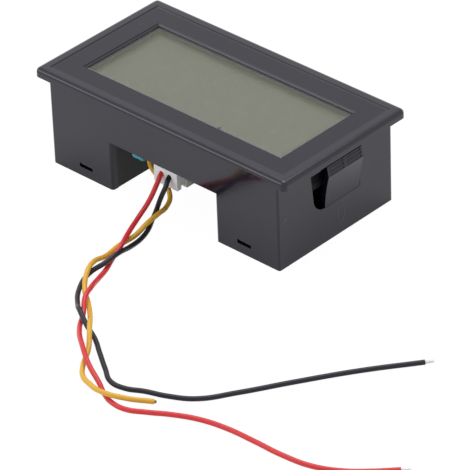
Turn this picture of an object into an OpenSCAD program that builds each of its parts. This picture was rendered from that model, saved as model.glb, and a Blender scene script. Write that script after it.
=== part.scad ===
// Snap-in digital panel meter with a liquid crystal display.
// It lies on its rear face: +Z is the way the display looks, X runs along the
// long side, and the notch for the leads is in the -Y wall.
// Origin: centre of the rear face. Units: millimetres.

/* [Bezel] */
// Width of the bezel
bezel_w = 79; // [76:0.5:90]
// Depth of the bezel
bezel_d = 42; // [41.5:0.5:60]
// Height of the bezel's side
bezel_t = 2.3; // [1.8:0.1:4]
// Radius of the bezel's vertical corners
bezel_corner_r = 1.3; // [0.5:0.1:4]
// Radius of the rounded front edge
bezel_edge_r = 1.2; // [0.3:0.1:1.6]
// Width of the raised rim
rim_w = 2.9; // [1.5:0.1:3.4]
// How far the flat inside the rim lies below it
ring_drop = 0.3; // [0.1:0.05:0.6]

/* [Case] */
// Width of the box behind the bezel
case_w = 72.4; // [71.5:0.1:73]
// Depth of the box behind the bezel
case_d = 39.3; // [39:0.1:41]
// Height from the rear face to the front of the rim
case_h = 25.7; // [25:0.1:35]
// Thickness of the walls
wall = 1.8; // [1.2:0.1:2.2]
// Radius of the box's vertical edges
case_corner_r = 0.6; // [0.2:0.1:1.5]

/* [Display window] */
// Width of the opening over the display
window_w = 61.8; // [40:0.2:62]
// Depth of the opening over the display
window_d = 25; // [15:0.2:26]
// Width of the bevel round the opening
window_bevel = 0.4; // [0.2:0.1:1.5]
// Height of that bevel
window_bevel_h = 0.4; // [0.1:0.1:0.6]
// Depth of the display's surface below the rim
display_depth = 1.2; // [1:0.1:1.6]

/* [Notch] */
// Width of the notch for the leads
notch_w = 33.1; // [30:0.1:34]
// Radius of the upright edges where the notch opens
notch_corner_r = 0.8; // [0.3:0.1:1.5]
// Distance from the notch's upper edge to the bezel
notch_drop = 10.2; // [10:0.1:11.4]
// How far the notch reaches in from the wall
notch_depth = 24.6; // [22:0.2:28]

/* [Spring clips] */
// Width of a spring clip
clip_w = 12; // [8:0.5:14]
// Thickness of a clip
clip_t = 1.3; // [1:0.1:1.5]
// Length of a clip from its root to its top
clip_l = 11.4; // [10:0.1:13]
// How far a clip's middle lies behind the middle of its wall
clip_y = 2.2; // [1:0.1:2.6]
// Gap between a clip's top and the bezel
clip_top_gap = 2.6; // [2:0.1:3.4]
// Height of a clip's ribbed head
clip_head_h = 2.7; // [2.6:0.1:4]
// How far the clip stands out from the wall at its peak
clip_peak_out = 1.35; // [0.9:0.05:1.6]
// Number of grooves across a clip's head
clip_grooves = 3; // [1:1:3]
// Distance from groove to groove
clip_groove_pitch = 0.9; // [0.8:0.05:0.95]
// Width of the smooth land that parts the grooves in two
clip_land = 1.2; // [0.6:0.1:3]
// Depth of a groove
clip_groove_depth = 0.3; // [0.1:0.05:0.35]
// How far the wall's opening reaches past a clip, at its top
clip_slot = 4.65; // [3:0.05:5.2]
// Distance from the top of that opening to the bezel
clip_window_drop = 3.4; // [2.8:0.1:6]
// Gap between a clip's long edges and the opening
clip_side_gap = 0.15; // [0.1:0.05:0.3]
// Running gap round the root that a clip turns on
clip_gap = 0.05; // [0.02:0.01:0.1]

/* [Rear cover] */
// Thickness of the cover's plate
cover_t = 1.6; // [1.2:0.1:1.7]
// How far the cover lies inside the rear edge
cover_inset = 0.6; // [0.2:0.1:0.7]
// Thickness of the walls that line the notch
cover_wall = 1.4; // [1:0.1:2]
// Gap between the cover and the case
cover_gap = 0.15; // [0.05:0.05:0.3]
// Height of the cover's stiffening ribs
rib_h = 2; // [1:0.1:4]
// Thickness of the cover's stiffening ribs
rib_t = 1.2; // [0.8:0.1:2]
// Distance of a snap hook from the middle
hook_x = 25.3; // [22:0.1:28]
// Width of a snap window in the case
hook_window_w = 4.2; // [3:0.1:6]
// Height of the lower edge of a snap window
hook_window_z = 2.4; // [2.3:0.1:4]
// Height of a snap window
hook_window_h = 1.1; // [0.8:0.1:2]

/* [Display] */
// Gap between the edge of the glass and the wall
glass_gap = 0.6; // [0.2:0.1:1]
// Thickness of each sheet of glass
glass_t = 1.1; // [0.7:0.1:1.1]
// Width of the contact edge that the rear glass leaves free
contact_w = 3.1; // [2.6:0.1:3.6]
// Thickness of the polarising film
film_t = 0.2; // [0.1:0.05:0.3]
// Thickness of the reflector behind the glass
reflector_t = 0.3; // [0.2:0.1:0.5]
// Width of an elastomer strip
strip_w = 2.2; // [1.6:0.1:2.4]
// Distance from the end of an elastomer strip to the end of the board
strip_inset = 6.1; // [5:0.1:15]
// Height of the frame between the board and the glass
holder_h = 6.2; // [5.5:0.1:7]

/* [Board] */
// Gap between the edge of the circuit board and the wall
board_gap = 0.3; // [0.2:0.1:0.8]
// Thickness of the circuit board
board_t = 1.6; // [1:0.1:1.6]
// Radius of the shank of a holder screw
screw_r = 0.95; // [0.7:0.05:1.2]
// Radius of a component's leg
leg_r = 0.25; // [0.2:0.05:0.3]

/* [Trimmer] */
// Side of the trimmer's body
trimmer_w = 6.6; // [5:0.2:8]
// Height of the trimmer's body
trimmer_h = 3.6; // [3:0.1:3.8]
// Radius of the part that turns
rotor_r = 1.8; // [1:0.1:2.2]
// Running gap round the rotor
rotor_gap = 0.05; // [0.02:0.01:0.1]

/* [Connector] */
// Distance between the two poles
pole_pitch = 2.5; // [2:0.1:3]
// Width of the plug's front
plug_w = 7.4; // [6.6:0.1:9]
// Height of the plug's front
plug_h = 5.75; // [5:0.05:7]
// Length of the plug
plug_l = 9.4; // [8:0.1:10]
// Thickness of the plug's front flange
plug_flange_t = 1.4; // [0.8:0.1:2]
// How far the plug's front stands out of the header
plug_out = 2.9; // [2:0.1:3.5]
// How far the flange stands round the plug's body
plug_step = 0.48; // [0.2:0.02:0.8]
// Wall of the header round the plug
header_wall = 0.7; // [0.5:0.1:1]

/* [Leads] */
// Diameter of a lead over its insulation
lead_d = 1.2; // [1:0.1:1.5]
// Length of a stripped and tinned end
tip_l = 2.2; // [1:0.1:5]
// Diameter of a stripped and tinned end
tip_d = 0.8; // [0.5:0.1:1]

/* [Hidden] */

$fn = 48;
cut = 1; // overlap that carries a cut clear of the surface
sliver = 0.01; // thickness of the slices that a hull joins

// Heights, counted up from the rear face
bezel_z = case_h - bezel_t;
ring_z = case_h - ring_drop;
display_z = case_h - display_depth;
glass_z = display_z - film_t;
rear_glass_z = glass_z - glass_t;
reflector_z = rear_glass_z - glass_t;
holder_top_z = reflector_z - reflector_t;
board_top_z = holder_top_z - holder_h;
board_z = board_top_z - board_t;
cover_top_z = cover_inset + cover_t;

// Inside of the case
inner_w = case_w - 2 * wall;
inner_d = case_d - 2 * wall;
front_y = -case_d / 2;
notch_h = bezel_z - notch_drop;
notch_back_y = front_y + notch_depth;

// Spring clips
clip_top_z = bezel_z - clip_top_gap;
clip_peak_z = clip_top_z - clip_head_h; // where a clip stands out furthest
clip_root_z = clip_top_z - clip_l;
clip_window_top = bezel_z - clip_window_drop;
clip_lip = 0.1; // width of the root's edge outside the groove for the clip
clip_pin_r = (clip_t - clip_lip) / 2;
clip_pin_x = case_w / 2 - clip_lip - clip_gap - clip_pin_r;
clip_window_taper = 0.75; // how much less a clip's opening reaches out at its foot
clip_window_r = clip_slot - clip_window_taper;
clip_head_in = 0.5; // how far the top of the head leans back in

hook_reach = wall - 0.3; // how far a hook's barb reaches into its snap window
rib_end = 4; // how far a stiffening rib stops short of the cover's edge

// Display stack
film_w = window_w + 1.8;
film_d = window_d + 1.8;
film_gap = 0.3;
glass_w = inner_w - 2 * glass_gap;
glass_d = inner_d - 2 * glass_gap;
rear_glass_d = glass_d - 2 * contact_w;
reflector_inset = 0.6; // how far the reflector lies inside the rear glass
board_w = inner_w - 2 * board_gap;
board_d = inner_d - 2 * board_gap;
strip_y = rear_glass_d / 2 + 0.3 + strip_w / 2;
strip_l = board_w - 2 * strip_inset;
slot_gap = 0.1;
holder_bar_w = 3.2; // frame between a strip's slot and the opening in the middle
holder_open_d = 2 * strip_y - strip_w - 2 * slot_gap - 2 * holder_bar_w;
screw_inset = 2.4; // distance of a screw from the board's edges
screw_x = board_w / 2 - screw_inset;
screw_y = board_d / 2 - screw_inset;
screw_gap = 0.05;
screw_head_r = 1.8;
screw_head_h = 1.3;
screw_l = 6;

// Parts on the rear side of the board: [x, y] of each
leg_gap = 0.15;
leg_out = 0.8; // how far a leg shows on the board's other side
resistor_r = 0.92;
resistor_l = 3.5;
resistor_span = 7.6;
row_y = notch_back_y - 2.35; // the row of parts nearest the back of the notch
middle_y = front_y + 13.65; // the tall parts on both sides of the header
left_x = -notch_w / 2;
divider_at = [left_x + 4.35, row_y - 4.2];
reference_at = [left_x + 4.35, row_y - 1.6];
oscillator_at = [notch_w / 2 - 5.55, row_y];
film_cap_at = [-2.5, row_y - 3.6];
integrator_at = [-2.5, row_y];
film_cap_w = 7.2;
film_cap_d = 2.4;
film_cap_h = 5.6;
film_cap_span = 5;
can_at = [left_x + 3.35, middle_y];
can_r = 2.5;
can_h = 5.2;
can_span = 2;
trimmer_at = [notch_w / 2 - 6.55, middle_y];
chip_at = [strip_l / 2 - 7, 0];
chip_r = 5.5;
chip_h = 1.5;

// The input resistor hangs near the board's edge, on bent legs that are
// soldered to pads on the board's rear side
input_x = left_x + 6.75;
input_pad_y = front_y + wall + 2.4;
input_y = front_y + 2.55;
input_z = board_z - 2.7;
input_span = resistor_l + 1.9;

// Connector
plug_x = -1.2;
plug_z = board_z - 4.5;
plug_front_y = front_y + 2.15;
plug_body_w = plug_w - 2 * plug_step;
plug_body_h = plug_h - 2 * plug_step;
plug_fit = 0.1;
header_w = plug_body_w + 2 * (plug_fit + header_wall);
header_front_y = plug_front_y + plug_out;
header_l = plug_l - plug_out + 1.5;
header_bottom_z = plug_z - plug_body_h / 2 - plug_fit - header_wall;
pin_w = 0.6;
pin_leg_y = header_front_y + header_l + 1;
lead_hole_r = lead_d / 2 + 0.1;
lead_seat = 3.5; // how far a lead reaches into the plug
terminal_w = 1.6;
terminal_l = plug_l - lead_seat - 0.4;
terminal_y = plug_front_y + lead_seat;
terminal_wall = 1; // metal between a lead's seat and the pin's socket

// Routes of the leads, each from its seat to its free end
red_route = [
    [plug_x - pole_pitch / 2, plug_front_y + lead_seat, plug_z],
    [plug_x - pole_pitch / 2, plug_front_y, plug_z],
    [-2.1, -19.2, 8.2], [-1.7, -22.7, 5], [-1.1, -27.1, 2.8], [0.7, -32.1, 2.2],
    [3, -37.1, 2], [4.4, -42, 0.8], [5.8, -45, 0.7], [7.2, -49, 0.8],
    [9.9, -54, 2.3], [11.7, -57.9, 2.3], [14.3, -61.2, 0.9], [17.6, -65.8, 0.8],
    [24.9, -72.1, 2.3], [30.8, -76, 2], [35.4, -77.9, 0.8], [39.4, -80.2, 0.7],
    [42.7, -81.4, 0.7], [46.7, -81.3, 0.7], [51, -79.1, 0.7], [55.8, -76.2, 0.7],
    [61.7, -73.6, 0.7], [68.4, -72.2, 0.7], [76, -71.8, 0.7], [83.8, -71.6, 0.7],
    [91, -70.5, 0.7], [97, -67.7, 0.7], [102, -63.7, 0.7], [106.5, -59.2, 0.7]];
black_route = [
    [plug_x + pole_pitch / 2, plug_front_y + lead_seat, plug_z],
    [plug_x + pole_pitch / 2, plug_front_y, plug_z],
    [0.6, -19.3, 8.2], [-0.2, -20.5, 5], [-0.8, -21.6, 1.8], [-0.1, -23.6, 0.8],
    [1.8, -26.9, 0.7], [3.2, -30.6, 0.7], [4.1, -35.3, 1.1], [5.4, -40.6, 2.6],
    [5.4, -45.2, 2.2], [4.3, -49, 1], [6.9, -55.1, 0.7], [11.4, -60, 1.2],
    [14.9, -62.8, 2.7], [18.9, -64.7, 1.4], [22.9, -66.4, 0.7], [27.7, -69.7, 0.7],
    [32.9, -73.3, 0.7], [37.3, -76, 0.7], [41.2, -75.8, 0.7], [45.3, -73.8, 0.7],
    [50.3, -71.9, 0.7], [55.9, -68.5, 0.7], [61.2, -61.1, 0.7], [68.1, -50, 0.7],
    [76.2, -37.7, 0.7], [85, -26.1, 0.7]];
yellow_route = [
    [-10.4, -13.2, board_z], [-10.2, -13.6, 11.5], [-9.8, -14, 9.2], [-9.3, -14.1, 7.3],
    [-8, -14.1, 5.9], [-5.2, -14.2, 4.7], [-1.8, -15.7, 2.8], [-0.1, -18.7, 2], [1, -22.7, 2.4],
    [1.3, -26.7, 2], [1.5, -31, 0.9], [1.3, -35.9, 0.7], [2.2, -41.3, 0.9],
    [3.3, -46.6, 2.4], [5.4, -50.9, 2.5], [8.2, -54.5, 1.2], [12.1, -57.4, 0.7],
    [17.1, -61.8, 1.4], [20.9, -65.8, 2.7], [24.8, -70.3, 0.8], [27.9, -75.1, 0.7],
    [30.7, -78.2, 0.7], [34.6, -80.1, 1.3], [39.9, -81.4, 2.2], [45.2, -79.3, 1.8],
    [49.7, -75.3, 0.8]];

function unit(v) = v / norm(v);

// Flat outlines and small helpers -------------------------------------------

module rounded_rect(w, d, r) {
    square([w - 2 * r, d], center = true);
    square([w, d - 2 * r], center = true);
    for (x = [-1, 1], y = [-1, 1])
        translate([x * (w / 2 - r), y * (d / 2 - r)]) circle(r);
}

// Round wire along a list of points, with a slightly larger ball at each bend
module wire(points, r) {
    for (i = [0 : len(points) - 2]) {
        run = points[i + 1] - points[i];
        translate(points[i])
            rotate([0, acos(run[2] / norm(run)), atan2(run[1], run[0])])
                cylinder(r = r, h = norm(run), $fn = 16);
    }
    for (i = [1 : 1 : len(points) - 2])
        translate(points[i]) sphere(r + 0.03, $fn = 16);
}

// Tube of eight sides swept along a route
module cord(route, d) {
    sides = 8;
    last = len(route) - 1;
    rings = [for (i = [0 : last])
        let (ahead = unit(route[min(i + 1, last)] - route[max(i - 1, 0)]),
             side = unit(cross([0, 0, 1], ahead)),
             up = cross(ahead, side))
        [for (k = [0 : sides - 1])
            route[i] + d / 2 * (cos(k * 360 / sides) * side + sin(k * 360 / sides) * up)]];
    faces = [
        [for (k = [0 : sides - 1]) k],
        for (i = [0 : last - 1], k = [0 : sides - 1])
            [i * sides + k, (i + 1) * sides + k,
             (i + 1) * sides + (k + 1) % sides, i * sides + (k + 1) % sides],
        [for (k = [sides - 1 : -1 : 0]) last * sides + k]];
    polyhedron([for (ring = rings) each ring], faces, convexity = 10);
}

// Case ----------------------------------------------------------------------

// Bezel plate with its front edge rounded over, from a round foot at each corner
module bezel_blank() {
    hull() for (x = [-1, 1], y = [-1, 1])
        translate([x * (bezel_w / 2 - bezel_corner_r), y * (bezel_d / 2 - bezel_corner_r), 0])
            rotate_extrude($fn = 32) polygon(concat([[0, 0], [bezel_corner_r, 0]],
                [for (a = [0 : 15 : 90])
                    [max(bezel_corner_r - bezel_edge_r * (1 - cos(a)), 0.05),
                     bezel_t - bezel_edge_r * (1 - sin(a))]],
                [[0, bezel_t]]));
}

// Rectangular opening that widens upwards over its height
module flared_opening(w, d, flare, h) {
    hull() {
        linear_extrude(sliver) square([w, d], center = true);
        translate([0, 0, h]) linear_extrude(sliver)
            square([w + 2 * flare, d + 2 * flare], center = true);
    }
}

// Opening in the wall behind a clip, with a wide round corner at its foot
module clip_window_outline() {
    front = clip_y - clip_w / 2;
    back = clip_y + clip_w / 2 + clip_side_gap;
    top = clip_top_z + clip_side_gap;
    polygon([[front, clip_root_z], [back, clip_root_z], [back, top],
        [front - clip_side_gap, top], [front - clip_side_gap, clip_window_top],
        [front - clip_slot, clip_window_top],
        for (a = [180 : 10 : 260])
            [front + clip_window_r * cos(a), clip_root_z + clip_window_r * (1 + sin(a))]]);
}

// Outline of the notch in the wall, with rounded edges where it opens
module notch_outline() {
    r = notch_corner_r;
    translate([-notch_w / 2, front_y - cut]) square([notch_w, wall + 2 * cut]);
    for (s = [0, 1]) mirror([s, 0]) translate([notch_w / 2 - cut, front_y - cut]) difference() {
        square([cut + r, cut + r]);
        translate([cut + r, cut + r]) circle(r);
    }
}

module case() {
    color("#48474c") difference() {
        union() {
            translate([0, 0, bezel_z]) bezel_blank();
            linear_extrude(bezel_z + cut / 2) rounded_rect(case_w, case_d, case_corner_r);
        }
        // inside, up to the seat of the front glass, and the seat of the film
        translate([0, 0, -cut]) linear_extrude(glass_z + cut)
            square([inner_w, inner_d], center = true);
        translate([0, 0, glass_z - cut]) linear_extrude(film_t + cut)
            square([film_w + film_gap, film_d + film_gap], center = true);
        // window with its bevel, and the flat inside the rim
        linear_extrude(case_h) square([window_w, window_d], center = true);
        translate([0, 0, ring_z - window_bevel_h])
            flared_opening(window_w, window_d, window_bevel, window_bevel_h);
        translate([0, 0, ring_z])
            flared_opening(bezel_w - 2 * rim_w, bezel_d - 2 * rim_w, ring_drop, ring_drop);
        // notch in the wall
        translate([0, 0, -cut]) linear_extrude(notch_h + cut) notch_outline();
        // snap windows near the rear edge of both long walls
        for (x = [-1, 1])
            translate([x * hook_x - hook_window_w / 2, front_y - cut, hook_window_z])
                cube([hook_window_w, case_d + 2 * cut, hook_window_h]);
        // openings behind the clips, and the rounded seats that the clips turn in
        for (s = [0, 1]) mirror([s, 0, 0]) {
            translate([inner_w / 2 - cut, 0, 0]) rotate([90, 0, 90])
                linear_extrude(wall + cut + sliver) clip_window_outline();
            translate([clip_pin_x, clip_y, clip_root_z]) rotate([90, 0, 0])
                cylinder(r = clip_pin_r + clip_gap, h = clip_w + 2 * clip_side_gap, center = true);
        }
    }
}

// Spring clips --------------------------------------------------------------

// How far the clip's outer face is from the middle at height z. It bows out
// of the wall up to its peak, and leans back in above it.
function clip_face(z) = case_w / 2 + (z < clip_peak_z
    ? clip_peak_out * pow((z - clip_root_z) / (clip_peak_z - clip_root_z), 1.7)
    : clip_peak_out - clip_head_in * (z - clip_peak_z) / clip_head_h);

// Clip on the +X side: a leaf that curves outwards to a ribbed head
module clip() {
    steps = 8;
    foot_z = clip_root_z + clip_gap;
    rise = (clip_peak_z - foot_z) / steps;
    outer = [for (i = [0 : steps]) [clip_face(foot_z + i * rise), foot_z + i * rise]];
    head_x = clip_face(clip_top_z);
    leaf = concat(outer, [[head_x, clip_top_z], [head_x - 0.8 * clip_t, clip_top_z]],
        [for (i = [steps : -1 : 0]) outer[i] - [clip_t, 0]]);
    groove_l = (clip_w - clip_land) / 2 - 0.6;
    translate([0, clip_y, 0]) difference() {
        union() {
            rotate([90, 0, 0]) linear_extrude(clip_w, center = true) polygon(leaf);
            translate([clip_pin_x, 0, clip_root_z]) rotate([90, 0, 0])
                cylinder(r = clip_pin_r, h = clip_w, center = true);
        }
        for (i = [1 : clip_grooves], s = [0, 1]) let (z = clip_top_z + 0.4 - i * clip_groove_pitch)
            mirror([0, s, 0]) translate([clip_face(z) - clip_groove_depth, clip_land / 2, z])
                rotate([0, 45, 0]) cube([1, groove_l, 1]);
    }
}

module clip_right() { color("#4c4c50") clip(); }
module clip_left() { color("#4c4c50") mirror([1, 0, 0]) clip(); }

// Rear cover ----------------------------------------------------------------

// Hook on the plate's edge, with a barb that reaches into a snap window
module hook() {
    barb_h = hook_window_h - 0.2;
    top_z = hook_window_z + hook_window_h - 0.1;
    w = hook_window_w - 0.6;
    edge_y = -inner_d / 2 + cover_gap;
    rotate([90, 0, 90]) linear_extrude(w, center = true)
        polygon([[edge_y, cover_top_z - 0.4], [edge_y + 1.2, cover_top_z - 0.4],
            [edge_y + 1.2, top_z + 0.8], [edge_y, top_z + 0.8], [edge_y, top_z],
            [edge_y - cover_gap - hook_reach, top_z - 0.1],
            [edge_y - cover_gap - hook_reach, top_z - 0.4],
            [edge_y, top_z - barb_h]]);
}

module rear_cover() {
    plate_w = inner_w - 2 * cover_gap;
    plate_d = inner_d - 2 * cover_gap;
    inside_y = front_y + wall;
    color("#3f3f43") {
        translate([0, 0, cover_inset]) linear_extrude(cover_t) difference() {
            square([plate_w, plate_d], center = true);
            translate([-notch_w / 2, -plate_d / 2 - cut])
                square([notch_w, notch_back_y + plate_d / 2 + cut]);
        }
        // walls that line the notch and hold the board up against the display
        for (s = [0, 1]) mirror([s, 0, 0])
            translate([notch_w / 2, inside_y, 0])
                cube([cover_wall, notch_back_y + cover_wall - inside_y, board_z]);
        translate([-notch_w / 2 - cover_wall, notch_back_y, 0])
            cube([notch_w + 2 * cover_wall, cover_wall, board_z]);
        // stiffening ribs
        for (x = [-1, 1])
            translate([x * (notch_w + plate_w) / 4 - rib_t / 2, -plate_d / 2 + rib_end, cover_top_z - 0.4])
                cube([rib_t, plate_d - 2 * rib_end, rib_h + 0.4]);
        for (x = [-1, 1], s = [0, 1])
            mirror([0, s, 0]) translate([x * hook_x, 0, 0]) hook();
    }
}

// Display -------------------------------------------------------------------

module sheet(w, d, z, t) {
    translate([0, 0, z - t]) linear_extrude(t) square([w, d], center = true);
}

module lcd_front_polariser() { color("#86897a") sheet(film_w, film_d, display_z, film_t); }
module lcd_front_glass() { color("#a9b0a4") sheet(glass_w, glass_d, glass_z, glass_t); }
module lcd_rear_glass() { color("#a3aa9e") sheet(glass_w, rear_glass_d, rear_glass_z, glass_t); }
module lcd_reflector() {
    color("#b9bdaa") sheet(glass_w - 2 * reflector_inset, rear_glass_d - 2 * reflector_inset,
        reflector_z, reflector_t);
}

module zebra_strip() {
    translate([-strip_l / 2, strip_y - strip_w / 2, board_top_z])
        cube([strip_l, strip_w, rear_glass_z - board_top_z]);
}
module zebra_strip_back() { color("#c58a86") zebra_strip(); }
module zebra_strip_front() { color("#c58a86") mirror([0, 1, 0]) zebra_strip(); }

module screw_places() {
    for (x = [-1, 1], y = [-1, 1]) translate([x * screw_x, y * screw_y, 0]) children();
}

module lcd_holder() {
    color("#26272a") difference() {
        translate([0, 0, board_top_z]) linear_extrude(holder_h) difference() {
            square([board_w, board_d], center = true);
            square([strip_l, holder_open_d], center = true);
            for (s = [-1, 1]) translate([0, s * strip_y])
                square([strip_l + 2 * slot_gap, strip_w + 2 * slot_gap], center = true);
        }
        screw_places() translate([0, 0, board_top_z - cut])
            cylinder(r = screw_r + screw_gap, h = screw_l - board_t + 0.4 + cut);
    }
}

// Board and what is on it ---------------------------------------------------

function legs_of(at, span) = [[at[0] - span / 2, at[1]], [at[0] + span / 2, at[1]]];
leg_places = concat(
    legs_of(divider_at, resistor_span), legs_of(reference_at, resistor_span), legs_of(oscillator_at, resistor_span),
    legs_of(film_cap_at, film_cap_span), legs_of(integrator_at, film_cap_span),
    legs_of(can_at, can_span));

module pcb() {
    color("#1f4a38") difference() {
        translate([0, 0, board_z]) linear_extrude(board_t) square([board_w, board_d], center = true);
        screw_places() translate([0, 0, board_z - cut])
            cylinder(r = screw_r + 0.2, h = board_t + 2 * cut);
        for (at = leg_places) translate([at[0], at[1], board_z - cut])
            cylinder(r = leg_r + leg_gap, h = board_t + 2 * cut, $fn = 16);
        for (s = [-1, 1]) translate([plug_x + s * pole_pitch / 2, pin_leg_y, board_z - cut])
            cylinder(r = pin_w, h = board_t + 2 * cut, $fn = 16);
    }
}

module holder_screws() {
    color("#8f9195") screw_places() {
        difference() {
            translate([0, 0, board_z - screw_head_h]) cylinder(r = screw_head_r, h = screw_head_h);
            for (a = [0, 90]) rotate(a) translate([-1.1, -0.25, board_z - screw_head_h - cut])
                cube([2.2, 0.5, 0.6 + cut]);
        }
        translate([0, 0, board_z - 0.2]) cylinder(r = screw_r, h = screw_l + 0.2);
    }
}

// Resin dome over the bonded chip
module controller_chip() {
    color("#17181a") translate([chip_at[0], chip_at[1], board_top_z]) rotate_extrude()
        polygon(concat([[0, 0]], [for (a = [0 : 10 : 90]) [chip_r * cos(a), chip_h * sin(a)]]));
}

// Axial resistor along X. Its legs bend from the axis and end at end_z.
module resistor(at, z, colour, leg_y, end_z, span = resistor_span) {
    neck = resistor_l / 2;
    waist = 0.82 * resistor_r;
    color(colour) translate([at[0], at[1], z]) rotate([0, 90, 0])
        rotate_extrude() polygon(concat([[0, -neck]],
            [for (i = [0 : 24]) let (t = i / 12 - 1)
                [i == 0 || i == 24 ? leg_r + 0.15
                    : waist + (resistor_r - waist) * sin(180 * abs(t)), t * neck]],
            [[0, neck]]));
    color("#c9c7c2") for (s = [-1, 1])
        wire([[at[0], at[1], z], [at[0] + s * span / 2, at[1], z],
            [at[0] + s * span / 2, leg_y, board_z - 0.5],
            [at[0] + s * span / 2, leg_y, end_z]], leg_r);
}

module flat_resistor(at, colour) {
    resistor(at, board_z - resistor_r - 0.5, colour, at[1], board_top_z + leg_out);
}
module resistor_input() {
    resistor([input_x, input_y], input_z, "#52b0c2", input_pad_y, board_z, input_span);
}
module resistor_divider() { flat_resistor(divider_at, "#52b0c2"); }
module resistor_reference() { flat_resistor(reference_at, "#52b0c2"); }
module resistor_oscillator() { flat_resistor(oscillator_at, "#c9a877"); }

// Dipped film capacitor that stands on the board's rear side
module film_capacitor(at, colour) {
    r = film_cap_d / 2;
    color(colour) translate([at[0], at[1], board_z - 0.3 - film_cap_h]) linear_extrude(film_cap_h)
        rounded_rect(film_cap_w, film_cap_d, r - sliver);
    color("#c9c7c2") for (leg = legs_of(at, film_cap_span))
        translate([leg[0], leg[1], board_z - 0.3 - cut])
            cylinder(r = leg_r, h = board_t + 0.3 + cut + leg_out, $fn = 16);
}
module capacitor_reference() { film_capacitor(film_cap_at, "#8d5a2b"); }
module capacitor_integrator() { film_capacitor(integrator_at, "#7f4f26"); }

module capacitor_supply() {
    color("#23324f") translate([can_at[0], can_at[1], board_z - 0.3 - can_h])
        cylinder(r = can_r, h = can_h);
    color("#c9c7c2") for (leg = legs_of(can_at, can_span))
        translate([leg[0], leg[1], board_z - 0.3 - cut])
            cylinder(r = leg_r, h = board_t + 0.3 + cut + leg_out, $fn = 16);
}

rotor_h = 2;
rotor_z = board_z - trimmer_h - 0.3;
module trimmer_body() {
    color("#2b62a8") translate([trimmer_at[0], trimmer_at[1], board_z - trimmer_h]) difference() {
        linear_extrude(trimmer_h) rounded_rect(trimmer_w, trimmer_w, 0.5);
        translate([0, 0, -cut]) cylinder(r = rotor_r + rotor_gap, h = rotor_h - 0.3 + rotor_gap + cut);
    }
}
module trimmer_rotor() {
    color("#e6e3da") translate([trimmer_at[0], trimmer_at[1], rotor_z]) difference() {
        cylinder(r = rotor_r, h = rotor_h);
        translate([-rotor_r - cut, -0.3, -cut]) cube([2 * rotor_r + 2 * cut, 0.6, 0.7 + cut]);
        translate([-0.3, 0, -cut]) cube([0.6, rotor_r * 0.7, 0.7 + cut]);
    }
}

// Connector -----------------------------------------------------------------

module poles() {
    for (s = [-1, 1]) translate([plug_x + s * pole_pitch / 2, 0, plug_z]) children();
}

// Block centred on the plug's axis, between two distances along Y
module axis_block(w, h, from_y, to_y) {
    translate([plug_x - w / 2, from_y, plug_z - h / 2]) cube([w, to_y - from_y, h]);
}

module header() {
    mouth_d = plug_l - plug_out + plug_fit;
    color("#d9d7d0") difference() {
        translate([plug_x - header_w / 2, header_front_y, header_bottom_z])
            cube([header_w, header_l, board_z - header_bottom_z]);
        axis_block(plug_body_w + 2 * plug_fit, plug_body_h + 2 * plug_fit,
            header_front_y - cut, header_front_y + mouth_d);
        // keyway slots in the side away from the board
        for (s = [-1, 1])
            translate([plug_x + s * header_w / 4 - 0.6, header_front_y - cut, header_bottom_z - cut])
                cube([1.2, 4 + cut, header_wall + 2 * cut]);
        poles() translate([-pin_w / 2 - 0.02, header_front_y + mouth_d - cut, -pin_w / 2 - 0.02])
            cube([pin_w + 0.04, header_l, pin_w + 0.04]);
    }
}

module header_pins() {
    tip_y = terminal_y + terminal_wall + 0.3;
    color("#c8b98a") poles() {
        translate([-pin_w / 2, tip_y, -pin_w / 2])
            cube([pin_w, pin_leg_y + pin_w / 2 - tip_y, pin_w]);
        translate([-pin_w / 2, pin_leg_y - pin_w / 2, -pin_w / 2])
            cube([pin_w, pin_w, board_top_z + leg_out - plug_z + pin_w / 2]);
    }
}

module plug() {
    back_y = plug_front_y + plug_l;
    color("#eceaf0") difference() {
        union() {
            axis_block(plug_w, plug_h, plug_front_y, plug_front_y + plug_flange_t);
            axis_block(plug_body_w, plug_body_h, plug_front_y, back_y);
        }
        poles() {
            translate([0, plug_front_y - cut, 0]) rotate([-90, 0, 0])
                cylinder(r = lead_hole_r, h = lead_seat + 2 * cut);
            translate([-terminal_w / 2 - 0.05, terminal_y, -terminal_w / 2 - 0.05])
                cube([terminal_w + 0.1, plug_l, terminal_w + 0.1]);
            // window for the terminal's catch
            translate([-0.6, terminal_y + 1.2, -plug_h]) cube([1.2, 1.8, plug_h]);
        }
    }
}

module plug_terminals() {
    color("#b9b6ae") poles() difference() {
        translate([-terminal_w / 2, terminal_y, -terminal_w / 2])
            cube([terminal_w, terminal_l, terminal_w]);
        translate([-pin_w / 2 - 0.03, terminal_y + terminal_wall, -pin_w / 2 - 0.03])
            cube([pin_w + 0.06, terminal_l, pin_w + 0.06]);
    }
}

// Leads ---------------------------------------------------------------------

// Tinned strands that carry on from a lead's last point
module tip(route) {
    last = len(route) - 1;
    ahead = unit(route[last] - route[last - 1]);
    wire([route[last], route[last] + tip_l * ahead], tip_d / 2);
}

module lead_red() { color("#cf3238") cord(red_route, lead_d); }
module lead_black() { color("#2b2b30") cord(black_route, lead_d); }
module lead_yellow() { color("#dda52e") cord(yellow_route, lead_d); }
module lead_red_tip() { color("#b9bcc2") tip(red_route); }
module lead_black_tip() { color("#b9bcc2") tip(black_route); }

case();
clip_left();
clip_right();
rear_cover();
lcd_front_polariser();
lcd_front_glass();
lcd_rear_glass();
lcd_reflector();
lcd_holder();
zebra_strip_front();
zebra_strip_back();
pcb();
holder_screws();
controller_chip();
resistor_input();
resistor_divider();
resistor_reference();
resistor_oscillator();
capacitor_reference();
capacitor_integrator();
capacitor_supply();
trimmer_body();
trimmer_rotor();
header();
header_pins();
plug();
plug_terminals();
lead_red();
lead_black();
lead_yellow();
lead_red_tip();
lead_black_tip();
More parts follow.
